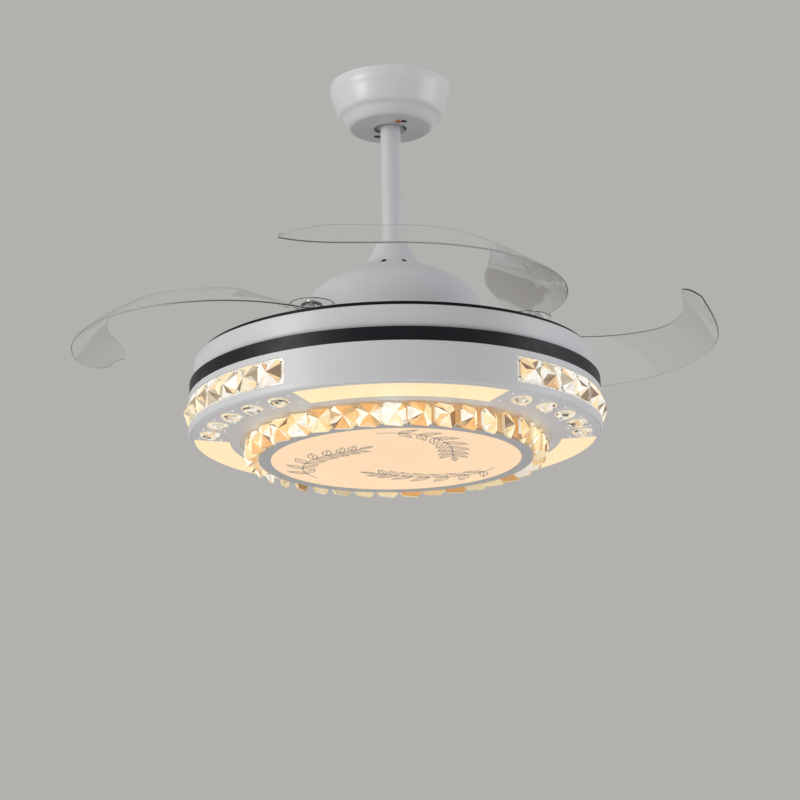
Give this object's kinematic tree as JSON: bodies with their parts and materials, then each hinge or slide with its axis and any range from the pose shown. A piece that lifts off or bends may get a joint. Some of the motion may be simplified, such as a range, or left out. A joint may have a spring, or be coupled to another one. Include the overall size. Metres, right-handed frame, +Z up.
{
  "type": "retractable blade ceiling fan",
  "caption": "Ceiling fan hung on a short rod: clear curved blades swing out from a black tray over a round white lamp body with lit panels, cut crystals and a glowing centre disc",
  "frame": {"origin": "centre of the hanger bracket's upper face, on the fan's axis in the plane of the ceiling", "axes": "+Z up, out of the bracket into the ceiling; -Y towards the viewer of the picture, +X to the right"},
  "size_m": [0.7856, 0.7856, 0.4878],
  "materials": {
    "white_paint": "smooth satin white paint",
    "galvanised_steel": "galvanised sheet",
    "copper_screw": "copper-coloured plating",
    "steel": "machined steel",
    "copper_winding": "varnished copper winding on laminations",
    "motor_aluminium": "die-cast aluminium",
    "magnet": "ferrite",
    "black_paint": "semi-matte black paint",
    "nylon": "moulded nylon",
    "clear_plastic": "clear moulded plastic, polished",
    "black_gloss": "high-gloss black lacquer",
    "driver_plastic": "moulded white plastic",
    "reflector_white": "matt white reflector paint",
    "silver_border": "satin silver paint",
    "crystal": "cut clear crystal acrylic, lit amber from behind",
    "lit_acrylic": "warm translucent acrylic, lit from behind"
  },
  "bodies": {
    "ceiling_mount": {"hanger_bracket": "galvanised_steel", "canopy": "white_paint", "canopy_screw_1": "copper_screw", "canopy_screw_2": "copper_screw"},
    "fan_head": {"hanger_ball": "galvanised_steel", "hanger_pin": "steel", "downrod": "white_paint", "rod_coupling": "steel", "coupling_pin": "steel", "motor_cover": "white_paint", "motor_shaft": "steel", "stator": "copper_winding", "lamp_pan": "galvanised_steel", "shaft_nut": "steel", "upper_ring": "white_paint", "accent_band": "black_gloss", "lower_ring": "white_paint", "reflector_plate": "reflector_white", "led_board": "reflector_white", "led_driver": "driver_plastic", "bottom_plate": "white_paint", "disc_carrier": "galvanised_steel", "disc_border": "silver_border", "disc_panel": "lit_acrylic", "crystal_ring": "crystal", "window_crystals_1": "crystal", "window_crystals_2": "crystal", "window_crystals_3": "crystal", "light_panel_1": "lit_acrylic", "light_panel_2": "lit_acrylic", "light_panel_3": "lit_acrylic", "stud_strip_1": "crystal", "stud_strip_2": "crystal", "stud_strip_3": "crystal"},
    "rotor": {"motor_shell_lower": "motor_aluminium", "motor_shell_upper": "motor_aluminium", "bearing_lower": "steel", "bearing_upper": "steel", "magnet_ring": "magnet", "blade_tray": "black_paint", "sync_guide": "steel", "return_spring_1": "steel", "return_spring_2": "steel", "return_spring_3": "steel", "return_spring_4": "steel"},
    "sync": {"sync_gear": "nylon"},
    "blade_unit_1": {"blade_1": "clear_plastic", "blade_gear_1": "nylon", "blade_bolt_1": "steel"},
    "blade_unit_2": {"blade_2": "clear_plastic", "blade_gear_2": "nylon", "blade_bolt_2": "steel"},
    "blade_unit_3": {"blade_3": "clear_plastic", "blade_gear_3": "nylon", "blade_bolt_3": "steel"},
    "blade_unit_4": {"blade_4": "clear_plastic", "blade_gear_4": "nylon", "blade_bolt_4": "steel"}
  },
  "joints": [
    {"name": "hanger_tilt", "type": "hinge", "parent": "ceiling_mount", "child": "fan_head", "pos_m": [0, 0, -0.034], "axis": [1, 0, 0], "range_deg": [-9, 9]},
    {"name": "rotor_spin", "type": "hinge", "parent": "fan_head", "child": "rotor", "pos_m": [0, 0, -0.33], "axis": [0, 0, 1], "continuous": true},
    {"name": "blade_hinge_1", "type": "hinge", "parent": "rotor", "child": "blade_unit_1", "pos_m": [0.15993, -0.09496, -0.35], "axis": [0, 0, 1], "range_deg": [-50, 60]},
    {"name": "blade_hinge_2", "type": "hinge", "parent": "rotor", "child": "blade_unit_2", "pos_m": [0.09496, 0.15993, -0.35], "axis": [0, 0, 1], "range_deg": [-50, 60]},
    {"name": "blade_hinge_3", "type": "hinge", "parent": "rotor", "child": "blade_unit_3", "pos_m": [-0.15993, 0.09496, -0.35], "axis": [0, 0, 1], "range_deg": [-50, 60]},
    {"name": "blade_hinge_4", "type": "hinge", "parent": "rotor", "child": "blade_unit_4", "pos_m": [-0.09496, -0.15993, -0.35], "axis": [0, 0, 1], "range_deg": [-50, 60]},
    {"name": "sync_turn", "type": "hinge", "parent": "rotor", "child": "sync", "pos_m": [0, 0, -0.378], "axis": [0, 0, 1], "range_deg": [-9.5, 8]}
  ],
  "couplings": [
    {"joint": "blade_hinge_2", "follows": "blade_hinge_1", "ratio": 1},
    {"joint": "blade_hinge_3", "follows": "blade_hinge_1", "ratio": 1},
    {"joint": "blade_hinge_4", "follows": "blade_hinge_1", "ratio": 1},
    {"joint": "sync_turn", "follows": "blade_hinge_1", "ratio": -0.15}
  ]
}
